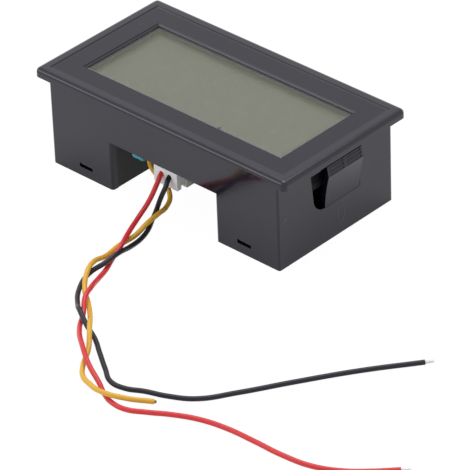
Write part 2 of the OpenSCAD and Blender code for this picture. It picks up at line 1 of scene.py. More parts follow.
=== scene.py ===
# %% [markdown]
# # A snap-in panel meter
# This notebook dresses a finished CAD model of a small digital panel meter. The
# pieces already have their true size and place, so the work here is the camera,
# the light, three limp leads, and above all the finishes. The box of the case is
# measured and printed.

# %% Load the frame
import math
import bpy
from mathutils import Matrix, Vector


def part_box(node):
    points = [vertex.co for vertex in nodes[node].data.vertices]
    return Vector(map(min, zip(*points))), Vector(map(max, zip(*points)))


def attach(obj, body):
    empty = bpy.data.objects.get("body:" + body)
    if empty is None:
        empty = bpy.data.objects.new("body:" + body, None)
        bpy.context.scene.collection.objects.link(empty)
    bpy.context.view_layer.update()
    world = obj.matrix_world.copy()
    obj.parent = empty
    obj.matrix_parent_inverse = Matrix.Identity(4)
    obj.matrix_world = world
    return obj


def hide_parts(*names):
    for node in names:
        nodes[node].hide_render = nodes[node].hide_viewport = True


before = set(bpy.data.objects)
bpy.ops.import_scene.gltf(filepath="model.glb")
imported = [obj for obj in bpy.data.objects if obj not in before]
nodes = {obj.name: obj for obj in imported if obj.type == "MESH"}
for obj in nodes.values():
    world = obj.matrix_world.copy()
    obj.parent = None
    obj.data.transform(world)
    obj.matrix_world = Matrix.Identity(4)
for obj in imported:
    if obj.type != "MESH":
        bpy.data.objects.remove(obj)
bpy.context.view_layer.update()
MM = 0.001
ROOT = "meter"

# %% [markdown]
# ## Camera
# Catalogue pictures of small parts are taken from far away with a long lens, which
# keeps parallel edges nearly parallel. The same look comes from a lens of about
# 300 mm at a distance of nearly one metre. The camera is made before anything
# else, because the cords are judged by what it sees.

# %% Camera
LENS_MM = 307.2
SENSOR_MM = 36
CAMERA_PLACE = (0.5518, -0.5715, 0.5137)
CAMERA_TURN = (0.9827, 0.0314, 0.7436)

camera = bpy.data.objects.new("camera", bpy.data.cameras.new("camera"))
bpy.context.scene.collection.objects.link(camera)
camera.data.lens = LENS_MM
camera.data.sensor_width = SENSOR_MM
camera.location = CAMERA_PLACE
camera.rotation_euler = CAMERA_TURN
camera.data.clip_start = 0.01
bpy.context.scene.camera = camera
print("camera is", round(camera.location.length, 3), "m from the meter")

# %% [markdown]
# ## Leads
# The red and the black lead leave the plug, the yellow one is soldered to the
# board, and all three are loosely plaited before they part. Each is one Bezier
# curve with automatic handles, which bends as softly as real wire does, and a
# round bevel gives the curve its insulation. The points of the routes are the ones
# that the CAD model's tubes follow, in millimetres. LAID_Z is the height of a
# lead's middle where it lies on the floor.

# %% Routes of the leads
LEAD_D = 1.2
PLUG_SEAT_Y = -14.0
PLUG_FACE_Y = -17.5
PLUG_Z = 9.5
BOARD_Z = 14.0
LAID_Z = 0.7

ROUTES = {
    "red": [
        (-2.45, PLUG_SEAT_Y, PLUG_Z), (-2.45, PLUG_FACE_Y, PLUG_Z), (-2.1, -19.2, 8.2),
        (-1.7, -22.7, 5), (-1.1, -27.1, 2.8), (0.7, -32.1, 2.2), (3, -37.1, 2), (4.4, -42, 0.8),
        (5.8, -45, LAID_Z), (7.2, -49, 0.8), (9.9, -54, 2.3), (11.7, -57.9, 2.3),
        (14.3, -61.2, 0.9), (17.6, -65.8, 0.8), (24.9, -72.1, 2.3), (30.8, -76, 2),
        (35.4, -77.9, 0.8), (39.4, -80.2, LAID_Z), (42.7, -81.4, LAID_Z), (46.7, -81.3, LAID_Z),
        (51, -79.1, LAID_Z), (55.8, -76.2, LAID_Z), (61.7, -73.6, LAID_Z), (68.4, -72.2, LAID_Z),
        (76, -71.8, LAID_Z), (83.8, -71.6, LAID_Z), (91, -70.5, LAID_Z), (97, -67.7, LAID_Z),
        (102, -63.7, LAID_Z), (106.5, -59.2, LAID_Z),
    ],
    "black": [
        (0.05, PLUG_SEAT_Y, PLUG_Z), (0.05, PLUG_FACE_Y, PLUG_Z), (0.6, -19.3, 8.2),
        (-0.2, -20.5, 5), (-0.8, -21.6, 1.8), (-0.1, -23.6, 0.8), (1.8, -26.9, LAID_Z),
        (3.2, -30.6, LAID_Z), (4.1, -35.3, 1.1), (5.4, -40.6, 2.6), (5.4, -45.2, 2.2),
        (4.3, -49, 1), (6.9, -55.1, LAID_Z), (11.4, -60, 1.2), (14.9, -62.8, 2.7),
        (18.9, -64.7, 1.4), (22.9, -66.4, LAID_Z), (27.7, -69.7, LAID_Z), (32.9, -73.3, LAID_Z),
        (37.3, -76, LAID_Z), (41.2, -75.8, LAID_Z), (45.3, -73.8, LAID_Z), (50.3, -71.9, LAID_Z),
        (55.9, -68.5, LAID_Z), (61.2, -61.1, LAID_Z), (68.1, -50, LAID_Z), (76.2, -37.7, LAID_Z),
        (85, -26.1, LAID_Z),
    ],
    "yellow": [
        (-10.4, -13.2, BOARD_Z), (-10.2, -13.6, 11.5), (-9.8, -14, 9.2), (-9.3, -14.1, 7.3),
        (-8, -14.1, 5.9), (-5.2, -14.2, 4.7), (-1.8, -15.7, 2.8), (-0.1, -18.7, 2),
        (1, -22.7, 2.4), (1.3, -26.7, 2), (1.5, -31, 0.9), (1.3, -35.9, LAID_Z),
        (2.2, -41.3, 0.9), (3.3, -46.6, 2.4), (5.4, -50.9, 2.5), (8.2, -54.5, 1.2),
        (12.1, -57.4, LAID_Z), (17.1, -61.8, 1.4), (20.9, -65.8, 2.7), (24.8, -70.3, 0.8),
        (27.9, -75.1, LAID_Z), (30.7, -78.2, LAID_Z), (34.6, -80.1, 1.3), (39.9, -81.4, 2.2),
        (45.2, -79.3, 1.8), (49.7, -75.3, 0.8),
    ],
}
print("routes:", {colour: len(route) for colour, route in ROUTES.items()}, "points")

# %% [markdown]
# ### Curves with a round bevel
# A Bezier point with automatic handles makes the curve pass through it smoothly.
# Each point carries the tube's radius and the bevel depth is one, so that the box
# round the curve, which Blender works out from the points' radii, is the true one.

# %% Lead curves


def add_curve(name, runs, radius, body=ROOT, steps=8):
    """One curve object with a smooth open spline for each run of points in millimetres."""
    data = bpy.data.curves.new(name, "CURVE")
    data.dimensions = "3D"
    data.bevel_depth = 1.0
    data.bevel_resolution = 5
    data.resolution_u = steps
    data.use_fill_caps = True
    for run in runs:
        spline = data.splines.new("BEZIER")
        spline.bezier_points.add(len(run) - 1)
        for point, place in zip(spline.bezier_points, run):
            point.co = Vector(place) * MM
            point.radius = radius * MM
            point.handle_left_type = "AUTO"
            point.handle_right_type = "AUTO"
    piece = bpy.data.objects.new(name, data)
    bpy.context.scene.collection.objects.link(piece)
    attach(piece, body)
    return piece


def route_length(route):
    """Length of a route in millimetres, straight from point to point."""
    return sum((Vector(b) - Vector(a)).length for a, b in zip(route, route[1:]))


leads = {}
for colour, route in ROUTES.items():
    leads[colour] = add_curve(f"lead_{colour}_insulation", [route], LEAD_D / 2)
    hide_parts(f"lead_{colour}")
    print(colour, "lead is", round(route_length(route)), "mm long")

# %% [markdown]
# ### Stripped ends
# The strands of a stripped end are twisted together and tinned. Six thin strands
# wind round a straight core, each a spline of one curve, and they end at three
# different lengths. The yellow lead is cut off close to its insulation, so
# its copper strands stick out by less than half a millimetre.

# %% Stripped ends
TIP_L = 2.2
CUT_L = 0.5
INSIDE_L = 0.1
RAGGED = 0.1
STRANDS = 6
STRAND_R = 0.13
STRAND_RING = 2.05 * STRAND_R
STRAND_STEPS = 8
TAPER = 0.25
TWIST = math.radians(250)


def end_frame(route):
    """The last point of a route, the way it runs there, and two directions across it."""
    end = Vector(route[-1])
    ahead = (end - Vector(route[-2])).normalized()
    side = ahead.cross(Vector((0, 0, 1))).normalized()
    return end, ahead, side, side.cross(ahead)


def strand(route, radius, turn, length):
    """Points of one strand that winds round the end of a route and starts just inside it."""
    end, ahead, side, up = end_frame(route)
    run = []
    for i in range(STRAND_STEPS + 1):
        along = i / STRAND_STEPS
        angle = turn + along * TWIST
        across = side * math.cos(angle) + up * math.sin(angle)
        forward = ahead * (along * length - INSIDE_L)
        run.append(end + forward + across * radius * (1 - TAPER * along))
    return run


def bundle(route, length, ragged=0.0):
    """A straight core and a ring of strands round it, whose ends step back by ragged."""
    runs = [strand(route, 0, 0, length)]
    for i in range(STRANDS):
        turn = i * math.tau / STRANDS
        runs.append(strand(route, STRAND_RING, turn, length - ragged * (i % 3)))
    return runs


tips = {}
for colour in ("red", "black"):
    runs = bundle(ROUTES[colour], TIP_L, RAGGED)
    tips[colour] = add_curve(f"lead_{colour}_strands", runs, STRAND_R, steps=3)
    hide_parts(f"lead_{colour}_tip")

cut_runs = bundle(ROUTES["yellow"], CUT_L)
tips["yellow"] = add_curve("lead_yellow_strands", cut_runs, STRAND_R, steps=1)
print("stripped ends have", len(runs), "strands each")

# %% [markdown]
# ### Where the leads leave
# A lead's exit is where it leaves the plug's face or the board.

for colour, lead in leads.items():
    route = ROUTES[colour]
    leaves = route[0] if colour == "yellow" else route[1]
    tuple(x * MM for x in leaves)
print("declared", len(leads), "cords")

# %% [markdown]
# ## Floor, backdrop and light
# A wide white floor and a white world surround the part. Glossy black plastic
# shows almost nothing but what it reflects, so the white around it matters more
# than the lamps do. The floor lies a hair below the part's rear face, so that the
# two surfaces never share a plane.

# %% Floor
scene = bpy.context.scene
scene.view_settings.view_transform = "Standard"

FLOOR_HALF = 3.0
FLOOR_DROP = 0.00002

floor_mesh = bpy.data.meshes.new("floor")
floor_mesh.from_pydata(
    [(-FLOOR_HALF, -FLOOR_HALF, 0), (FLOOR_HALF, -FLOOR_HALF, 0),
     (FLOOR_HALF, FLOOR_HALF, 0), (-FLOOR_HALF, FLOOR_HALF, 0)], [], [(0, 1, 2, 3)])
floor = bpy.data.objects.new("floor", floor_mesh)
floor.location.z = -FLOOR_DROP
scene.collection.objects.link(floor)
print("floor is", 2 * FLOOR_HALF, "m wide")

# %% [markdown]
# ### World
# The world is pure white wherever it is seen, straight on, in a reflection or
# through glass, but it lights the surfaces with less than that.

# %% World
WORLD_LIGHT = 0.62
WORLD_SEEN = 1.0


def seen_rays(tree, mirrored=1.0):
    """1 for camera and transmission rays, mirrored for glossy rays, and 0 for the rest."""
    path = tree.nodes.new("ShaderNodeLightPath")
    mask = path.outputs["Is Camera Ray"]
    for kind, part in (("Is Transmission Ray", 1.0), ("Is Glossy Ray", mirrored)):
        scaled = tree.nodes.new("ShaderNodeMath")
        scaled.operation = "MULTIPLY"
        scaled.inputs[1].default_value = part
        tree.links.new(path.outputs[kind], scaled.inputs[0])
        most = tree.nodes.new("ShaderNodeMath")
        most.operation = "MAXIMUM"
        tree.links.new(mask, most.inputs[0])
        tree.links.new(scaled.outputs[0], most.inputs[1])
        mask = most.outputs[0]
    return mask


world = bpy.data.worlds.new("white surround")
world.use_nodes = True
scene.world = world
tree = world.node_tree
background = tree.nodes["Background"]
background.inputs["Color"].default_value = (1, 1, 1, 1)
strength = tree.nodes.new("ShaderNodeMapRange")
strength.inputs["To Min"].default_value = WORLD_LIGHT
strength.inputs["To Max"].default_value = WORLD_SEEN
tree.links.new(seen_rays(tree), strength.inputs["Value"])
tree.links.new(strength.outputs[0], background.inputs["Strength"])
print("world gives", WORLD_LIGHT, "of the light that is seen of it")

# %% [markdown]
# ### Floor paint
# The floor is white paint, which takes the part's shadow, mixed with a steady glow
# that lights nothing and shows only to the camera and in reflections. Most of what
# the camera sees is the glow, so the shadow stays faint. In reflections the glow is
# weaker, which keeps the walls of the part dark.

# %% Floor paint
FLOOR_GLOW = 0.96
FLOOR_GLOW_MIRRORED = 0.42
GLOW_STRENGTH = 1.02
PAINT_WHITE = 0.9

floor_paint = bpy.data.materials.new("white floor")
floor_paint.use_nodes = True
tree = floor_paint.node_tree
tree.nodes.clear()
matt = tree.nodes.new("ShaderNodeBsdfDiffuse")
matt.inputs["Color"].default_value = (PAINT_WHITE, PAINT_WHITE, PAINT_WHITE, 1)
glow = tree.nodes.new("ShaderNodeEmission")
glow.inputs["Strength"].default_value = GLOW_STRENGTH
share = tree.nodes.new("ShaderNodeMath")
share.operation = "MULTIPLY"
share.inputs[1].default_value = FLOOR_GLOW
blend = tree.nodes.new("ShaderNodeMixShader")
output = tree.nodes.new("ShaderNodeOutputMaterial")
tree.links.new(seen_rays(tree, FLOOR_GLOW_MIRRORED / FLOOR_GLOW), share.inputs[0])
tree.links.new(share.outputs[0], blend.inputs[0])
tree.links.new(matt.outputs[0], blend.inputs[1])
tree.links.new(glow.outputs[0], blend.inputs[2])
tree.links.new(blend.outputs[0], output.inputs["Surface"])
floor_mesh.materials.append(floor_paint)
print("floor glows at", FLOOR_GLOW, "when seen and", FLOOR_GLOW_MIRRORED, "when mirrored")

# %% [markdown]
# ### Lamps
# One large soft lamp hangs above and a little behind the part, as over a product
# table. A weaker one stands at the front left. Both are area lamps, which give
# broad highlights along the rounded edges and on the insulation.

# %% Lamps


def add_lamp(name, place, size, power):
    """A square area lamp at a place in metres that points at the part."""
    data = bpy.data.lights.new(name, "AREA")
    data.size = size
    data.energy = power
    lamp = bpy.data.objects.new(name, data)
    lamp.location = place
    lamp.rotation_euler = (-Vector(place)).to_track_quat("-Z", "Y").to_euler()
    scene.collection.objects.link(lamp)


add_lamp("overhead lamp", place=(-0.25, 0.35, 1.1), size=0.9, power=7.5)
add_lamp("front lamp", place=(-0.7, -0.9, 0.7), size=0.7, power=3)

# %% [markdown]
# ## Shader maths
# A finish is mostly arithmetic on patterns. This small class wraps a socket, so
# that a pattern can be scaled, added and mixed with ordinary Python signs, while
# the node tree is built behind them.

# %% Socket maths


class Field:
    """A value or colour that varies over a surface: an output socket in one node tree."""

    def __init__(self, tree, socket):
        self.tree = tree
        self.socket = socket

    def node(self, kind, inputs=(), output=0, **settings):
        """Adds a node, sets its settings first, then fills its sockets with numbers or Fields."""
        new = self.tree.nodes.new(kind)
        for name, value in settings.items():
            setattr(new, name, value)
        for key, value in dict(inputs).items():
            if isinstance(value, Field):
                self.tree.links.new(value.socket, new.inputs[key])
            else:
                new.inputs[key].default_value = value
        return Field(self.tree, new.outputs[output])

    def math(self, operation, *others, clamp=False):
        """A maths node with this field as its first input."""
        inputs = {i: value for i, value in enumerate((self, *others))}
        return self.node("ShaderNodeMath", inputs, operation=operation, use_clamp=clamp)

    def __add__(self, other):
        return self.math("ADD", other)

    __radd__ = __add__

    def __mul__(self, other):
        return self.math("MULTIPLY", other)

    __rmul__ = __mul__

    def __sub__(self, other):
        return self.math("SUBTRACT", other)

    def __rsub__(self, other):
        return self * -1 + other

    def __truediv__(self, other):
        return self.math("DIVIDE", other)

    def clamp(self):
        """The same value, held between 0 and 1."""
        return self.math("ADD", 0, clamp=True)

    def step(self, low, high):
        """0 below low, 1 above high, and a soft ramp between them."""
        inputs = {"Value": self, "From Min": low, "From Max": high}
        return self.node("ShaderNodeMapRange", inputs, interpolation_type="SMOOTHSTEP")

    def axis(self, letter):
        """One coordinate of a vector."""
        return self.node("ShaderNodeSeparateXYZ", {0: self}, output="XYZ".index(letter))

    def colour(self, first, second):
        """A colour that goes from first, where this field is 0, to second, where it is 1."""
        new = self.tree.nodes.new("ShaderNodeMix")
        new.data_type = "RGBA"
        for key, value in (("Factor", self), ("A", first), ("B", second)):
            sockets = [s for s in new.inputs if s.name == key and s.enabled]
            if isinstance(value, Field):
                self.tree.links.new(value.socket, sockets[0])
            else:
                sockets[0].default_value = value
        outputs = [s for s in new.outputs if s.enabled]
        return Field(self.tree, outputs[0])


def rgb(red, green, blue):
    """A linear colour with full alpha."""
    return (red, green, blue, 1.0)


print("socket maths is ready")

# %% [markdown]
# ### Starting a finish
# Every finish starts in the same way: a Principled shader, and the place of each
# surface point in millimetres, so that grain and marks have a real size. Edges
# that the CAD model leaves sharp get a small round bevel.

# %% Finish helper


class Finish:
    """A material with one Principled shader, and the patterns that feed it."""

    def __init__(self, name, **constants):
        self.material = bpy.data.materials.new(name)
        self.material.use_nodes = True
        self.tree = self.material.node_tree
        self.shader = self.tree.nodes["Principled BSDF"]
        for key, value in constants.items():
            self.set(key.replace("_", " "), value)
        place = self.tree.nodes.new("ShaderNodeTexCoord")
        scaled = self.tree.nodes.new("ShaderNodeVectorMath")
        scaled.operation = "SCALE"
        scaled.inputs["Scale"].default_value = 1 / MM
        self.tree.links.new(place.outputs["Object"], scaled.inputs[0])
        self.at = Field(self.tree, scaled.outputs[0])

    def set(self, socket, value):
        """Gives a socket of the shader a number, a colour or a Field."""
        names = {s.name.lower(): s for s in self.shader.inputs}
        target = names[socket.lower()]
        if isinstance(value, Field):
            self.tree.links.new(value.socket, target)
        else:
            target.default_value = value
        return self

    def noise(self, size, detail=2.0, roughness=0.5):
        """Soft random values from 0 to 1 with features of about that size in millimetres."""
        inputs = {"Vector": self.at, "Scale": 1 / size, "Detail": detail, "Roughness": roughness}
        return self.at.node("ShaderNodeTexNoise", inputs)

    def bump(self, height, depth, strength=1.0):
        """Relief: height is a Field from 0 to 1, and depth is its size in millimetres."""
        inputs = {"Height": height, "Distance": depth * MM, "Strength": strength}
        return self.set("Normal", self.at.node("ShaderNodeBump", inputs))

    def spot(self, centre, radius, soft=0.1):
        """1 inside a ball round a point in millimetres, and 0 outside it."""
        away = self.at.node("ShaderNodeVectorMath", {0: self.at, 1: centre},
                            output="Value", operation="DISTANCE")
        return 1 - away.step(radius - soft, radius + soft)


WELD_GAP = 0.000001
FLAT_ANGLE = math.radians(1)
SHARP_ANGLE = math.radians(35)


def dress(finish, *names):
    """Gives CAD nodes or other pieces a finish."""
    for name in names:
        data = nodes[name].data if name in nodes else bpy.data.objects[name].data
        data.materials.clear()
        data.materials.append(finish.material)


def round_edges(width, *names):
    """Rounds the sharp edges of CAD pieces by a width in millimetres, as a mould leaves them."""
    for name in names:
        piece = nodes[name]
        weld = piece.modifiers.new("weld", "WELD")
        weld.merge_threshold = WELD_GAP
        flat = piece.modifiers.new("flat faces", "DECIMATE")
        flat.decimate_type = "DISSOLVE"
        flat.angle_limit = FLAT_ANGLE
        bevel = piece.modifiers.new("rounded edges", "BEVEL")
        bevel.width = width * MM
        bevel.segments = 3
        bevel.limit_method = "ANGLE"
        bevel.angle_limit = SHARP_ANGLE
        bevel.harden_normals = True
        bevel.use_clamp_overlap = True


print("finishes start from a Principled shader")

# %% [markdown]
# ## Black moulded plastic
# The case and its clips come out of one polished mould. Such plastic is nearly
# black, and what is seen of it is the white room in a slightly hazy mirror. The
# haze varies a little, and a very fine orange peel disturbs the reflection. The
# sunken ring of the bezel has hardly any polish. The window's walls have painted
# light: a grey colour in place of what they reflect. The stub of the mould's gate
# and a faint oval mark on the +X wall, as an ejector leaves, are relief only.

# %% Black plastic
WALL_X = 36.2
RING_X, RING_Y, RING_Z = 36.2, 17.7, 24.8
WINDOW_X, WINDOW_Y, WINDOW_Z = 30.85, 12.45, 24.2
OVAL_MIDDLE = (1.4, 5.1)
OVAL_HALF = (1.25, 2.1)
OVAL_LINE = 0.22
OVAL_HEIGHT = 0.035


def inside(finish, half_x, half_y, above):
    """1 within a rectangle round the middle of the front, above a height in millimetres."""
    beside = finish.at.axis("X").math("ABSOLUTE").step(half_x, half_x + 0.3)
    before = finish.at.axis("Y").math("ABSOLUTE").step(half_y, half_y + 0.3)
    below = 1 - finish.at.axis("Z").step(above - 0.2, above)
    return 1 - (beside + before + below).clamp()


def oval_mark(finish):
    """1 on an oval line on the +X wall, whose middle and half sizes are (Y, Z) in millimetres."""
    across = (finish.at.axis("Y") - OVAL_MIDDLE[0]) / OVAL_HALF[0]
    up = (finish.at.axis("Z") - OVAL_MIDDLE[1]) / OVAL_HALF[1]
    off = (across * across + up * up).math("SQRT") - 1
    wall = finish.at.axis("X").step(WALL_X - 0.3, WALL_X - 0.2)
    return wall * (1 - off.math("ABSOLUTE").step(OVAL_LINE * 0.4, OVAL_LINE))


def black_plastic(name, haze, polish, marks=()):
    """Glossy black-grey plastic. Marks are (centre, radius, height) in millimetres."""
    finish = Finish(name, IOR=1.42, Specular_Tint=rgb(0.91, 0.90, 1.0),
                    Coat_IOR=1.5, Coat_Roughness=0.06)
    ring = inside(finish, RING_X, RING_Y, RING_Z)
    wear = finish.noise(18.0, detail=2) * 0.12 + polish
    finish.set("Coat Weight", wear * (1 - ring * 0.85))
    cloud = finish.noise(7.0, detail=3)
    grain = finish.noise(0.12, detail=2)
    skin = cloud.colour(rgb(0.0035, 0.004, 0.0105), rgb(0.006, 0.0065, 0.0145))
    # Painted light: the window's walls get a grey colour in place of the light they reflect.
    window_walls_painted_light = inside(finish, WINDOW_X, WINDOW_Y, WINDOW_Z)
    finish.set("Base Color", window_walls_painted_light.colour(skin, rgb(0.10, 0.10, 0.105)))
    finish.set("Roughness", haze + (cloud - 0.5) * 0.10 + (grain - 0.5) * 0.06)
    relief = grain * 0.004 + finish.noise(0.9) * 0.006 + oval_mark(finish) * OVAL_HEIGHT
    for centre, radius, height in marks:
        relief = relief + finish.spot(centre, radius, 0.12) * height
    return finish.bump(relief, 1.0, 0.8)


case_low, case_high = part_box("case")
gate_mark = ((WALL_X, -17.7, 12.9), 0.42, 0.12)
plastic = black_plastic("black plastic", 0.12, 0.27, [gate_mark])
clip_plastic = black_plastic("black plastic of the clips", 0.2, 0.1)
dress(plastic, "case")
dress(clip_plastic, "clip_left", "clip_right")
round_edges(0.22, "case")
round_edges(0.12, "clip_left", "clip_right")
print("case measures", [round(x / MM, 1) for x in case_high - case_low], "mm")

# %% [markdown]
# ## Rear cover
# The cover is moulded in the same plastic but from a mould with a fine eroded
# texture, so it looks duller. Its hooks, which stand in the shaded slots of the
# walls, are shinier, and they are painted paler as painted light in that shade.

# %% Rear cover
HOOK_Y = 17.9

cover = Finish("textured black plastic", IOR=1.5, Coat_Roughness=0.25)
erosion = cover.noise(0.16, detail=3)
hooks_with_painted_light = cover.at.axis("Y").math("ABSOLUTE").step(HOOK_Y, HOOK_Y + 0.1)
plain = cover.noise(9.0).colour(rgb(0.011, 0.011, 0.014), rgb(0.016, 0.016, 0.02))
# Painted light: the hooks are coloured paler than the cover to lift the shade in the slots.
cover.set("Base Color", hooks_with_painted_light.colour(plain, rgb(0.05, 0.05, 0.056)))
cover.set("Coat Weight", hooks_with_painted_light * 0.6)
cover.set("Roughness", 0.42 + erosion * 0.16)
cover.bump(erosion, 0.03)
dress(cover, "rear_cover")
round_edges(0.15, "rear_cover")
print("rear cover is dressed")

# %% [markdown]
# ## Liquid crystal display
# The picture of such a display lies between two sheets of glass, more than a
# millimetre below the front. So the front film and the front glass are nearly clear
# here, and the grey-green shows on the rear glass. The window's edges then cast a
# soft shadow on it, which gives the display its depth. Outside the window the
# seal between the two glasses is grey, painted paler as it goes under the window's
# shadow, as painted light that evens that shadow out; a slanting view catches it.
# The film has a painted shade: it is greyer and less clear towards the two ends and
# the +Y side of the window. Near its -Y side it has a thin painted highlight, and
# one small dark nick.

# %% Display film
HIGHLIGHT_LINE_Y = -11.7
NICK_AT = (10.9, -11.45, 24.5)
NICK_R = 0.42
SHADE_BAND_X, SHADE_BAND_Y, SHADE_BAND_W = 29.3, 11.1, 1.4

film = Finish("front polarising film", IOR=1.5)
haze = film.noise(4.0, detail=1)
clear = film.noise(12.0).colour(rgb(0.245, 0.255, 0.199), rgb(0.26, 0.27, 0.211))
# A painted highlight: a thin pale line on the film along the window's near -Y edge.
painted_highlight_line = 1 - (film.at.axis("Y") - HIGHLIGHT_LINE_Y).math("ABSOLUTE").step(0.1, 0.3)
nick = film.spot(NICK_AT, NICK_R)
# Painted shade: a greyer, less clear band along the two ends and the +Y side of the window.
ends = film.at.axis("X").math("ABSOLUTE").step(SHADE_BAND_X, SHADE_BAND_X + SHADE_BAND_W)
painted_shade_band = (ends + film.at.axis("Y").step(SHADE_BAND_Y, SHADE_BAND_Y + SHADE_BAND_W)).clamp()
tone = painted_highlight_line.colour(painted_shade_band.colour(clear, rgb(0.14, 0.14, 0.145)), rgb(0.26, 0.26, 0.33))
film.set("Base Color", nick.colour(tone, rgb(0.02, 0.02, 0.02)))
film.set("Alpha", (0.22 + painted_shade_band * 0.4 + painted_highlight_line * 0.2 + nick * 0.58).clamp())
film.set("Roughness", 0.26 + haze * 0.03)
film.bump(haze, 0.002)
dress(film, "lcd_front_polariser")
print("film is dressed")

# %% [markdown]
# ### Glass, picture and reflector
# The glass and the picture have nearly the film's colour, so that the layers don't
# show apart. The picture has a fine grain, and a silver reflector lies behind it.

# %% Glass, picture and reflector
SEAL_LIGHT_X, SEAL_LIGHT_Y, SEAL_LIGHT_W = 30.5, 12.1, 1.7

glass = Finish("clear glass", IOR=1.5, Alpha=0.08)
glass.set("Base Color", glass.noise(20.0).colour(rgb(0.25, 0.262, 0.205), rgb(0.265, 0.276, 0.216)))
glass.set("Roughness", 0.1 + glass.noise(5.0) * 0.03)
dress(glass, "lcd_front_glass")

picture = Finish("grey-green liquid crystal", IOR=1.5)
drift = picture.noise(14.0, detail=2)
grain = picture.noise(0.08, detail=1)
# The seal is grey, and it is painted paler where the window's shadow falls on it: painted light.
beyond = (picture.at.axis("X").math("ABSOLUTE").step(SEAL_LIGHT_X, SEAL_LIGHT_X + SEAL_LIGHT_W)
          + picture.at.axis("Y").math("ABSOLUTE").step(SEAL_LIGHT_Y, SEAL_LIGHT_Y + SEAL_LIGHT_W)).clamp()
cell = (drift * 0.9 + grain * 0.1).colour(rgb(0.238, 0.246, 0.19), rgb(0.276, 0.284, 0.22))
picture.set("Base Color", beyond.colour(cell, rgb(0.50, 0.50, 0.52)))
picture.set("Roughness", 0.33 + drift * 0.06)
picture.bump(grain, 0.0005)
dress(picture, "lcd_rear_glass")

silver = Finish("silver reflector", IOR=1.5)
brushed = silver.noise(0.2, detail=2)
silver.set("Base Color", brushed.colour(rgb(0.45, 0.47, 0.38), rgb(0.55, 0.57, 0.47)))
silver.set("Metallic", 0.7 + brushed * 0.2)
silver.set("Roughness", 0.45 + brushed * 0.1)
dress(silver, "lcd_reflector")
print("display is dressed")

# %% [markdown]
# ## Wire insulation
# Insulation is soft, slightly waxy plastic, pulled over the strands. It has a
# broad highlight, and a faint waviness and grain disturb it.

# %% Insulation


def insulation(name, base, deep, haze, tint=rgb(1, 1, 1)):
    """Smooth coloured insulation with faint waves and grain."""
    finish = Finish(name, IOR=1.42, Specular_Tint=tint)
    wave = finish.noise(2.4, detail=2)
    grain = finish.noise(0.15, detail=2)
    finish.set("Base Color", (wave * 0.6 + grain * 0.4).colour(deep, base))
    finish.set("Roughness", haze + wave * 0.12 + grain * 0.06)
    return finish.bump(wave * 0.7 + grain * 0.3, 0.02)


INSULATION = {
    "red": insulation("red insulation", rgb(0.72, 0.04, 0.046), rgb(0.62, 0.026, 0.032), 0.24),
    "black": insulation("black insulation", rgb(0.012, 0.012, 0.017),
                        rgb(0.007, 0.007, 0.011), 0.27, tint=rgb(0.9, 0.9, 1.0)),
    "yellow": insulation("yellow insulation", rgb(0.82, 0.47, 0.048), rgb(0.7, 0.375, 0.03), 0.28),
}
for colour, finish in INSULATION.items():
    dress(finish, leads[colour].name)

tinned = Finish("tinned strands", Metallic=1.0)
smear = tinned.noise(0.3, detail=3)
tinned.set("Base Color", smear.colour(rgb(0.55, 0.55, 0.57), rgb(0.75, 0.74, 0.73)))
tinned.set("Roughness", 0.28 + smear * 0.2)
dress(tinned, *(tips[colour].name for colour in ("red", "black")))

copper = Finish("cut copper strands", Metallic=1.0)
tarnish = copper.noise(0.2, detail=2)
copper.set("Base Color", tarnish.colour(rgb(0.16, 0.08, 0.04), rgb(0.34, 0.18, 0.1)))
copper.set("Roughness", 0.35 + tarnish * 0.2)
dress(copper, tips["yellow"].name)
print("insulation in", list(INSULATION))

# %% [markdown]
# ## Plug and header
# Both are nylon. The plug is bleached white and slightly waxy. The header is left
# natural, which is greyer and lets some light through its thin walls.

# %% Nylon


def nylon(name, light, dark, depth):
    """Waxy moulded nylon with a little light under its skin."""
    finish = Finish(name, IOR=1.53, Subsurface_Weight=0.25, Subsurface_Scale=depth * MM)
    flow = finish.noise(1.6, detail=2)
    grain = finish.noise(0.1, detail=1)
    finish.set("Base Color", flow.colour(dark, light))
    finish.set("Roughness", 0.34 + grain * 0.14)
    return finish.bump(grain, 0.006)


white_nylon = nylon("white nylon", rgb(0.87, 0.88, 0.88), rgb(0.80, 0.81, 0.81), 0.6)
natural_nylon = nylon("natural nylon", rgb(0.71, 0.69, 0.65), rgb(0.60, 0.58, 0.55), 1.0)
dress(white_nylon, "plug")
dress(natural_nylon, "header")
round_edges(0.12, "plug", "header")
print("connector is dressed")

# %% [markdown]
# ## Metal parts
# Pins, terminals and screws are small and mostly hidden, but they still catch
# light at the notch.

# %% Metal


def bright_metal(name, light, dark, haze):
    """Plated metal with fine scratches."""
    finish = Finish(name, Metallic=1.0)
    scratch = finish.noise(0.25, detail=4, roughness=0.6)
    finish.set("Base Color", scratch.colour(dark, light))
    finish.set("Roughness", haze + scratch * 0.2)
    return finish.bump(scratch, 0.004)


dress(bright_metal("tinned brass", rgb(0.72, 0.68, 0.56), rgb(0.56, 0.52, 0.42), 0.2),
      "header_pins", "plug_terminals")
dress(bright_metal("zinc-plated steel", rgb(0.62, 0.63, 0.66), rgb(0.46, 0.47, 0.5), 0.25),
      "holder_screws")
round_edges(0.08, "holder_screws", "plug_terminals", "header_pins")
print("metal is dressed")

# %% [markdown]
# ## Circuit board and its parts
# The board shows from below, through the notch. Its green mask lies over copper
# tracks, which show as slightly lighter and raised bands, and its two ends are
# painted dark, as painted shade. Lacquered resistors, dipped capacitors and a blue
# trimmer hang under it.

# %% Circuit board
TRACK_PITCH = 2.54
BOARD_END_X = 33.9

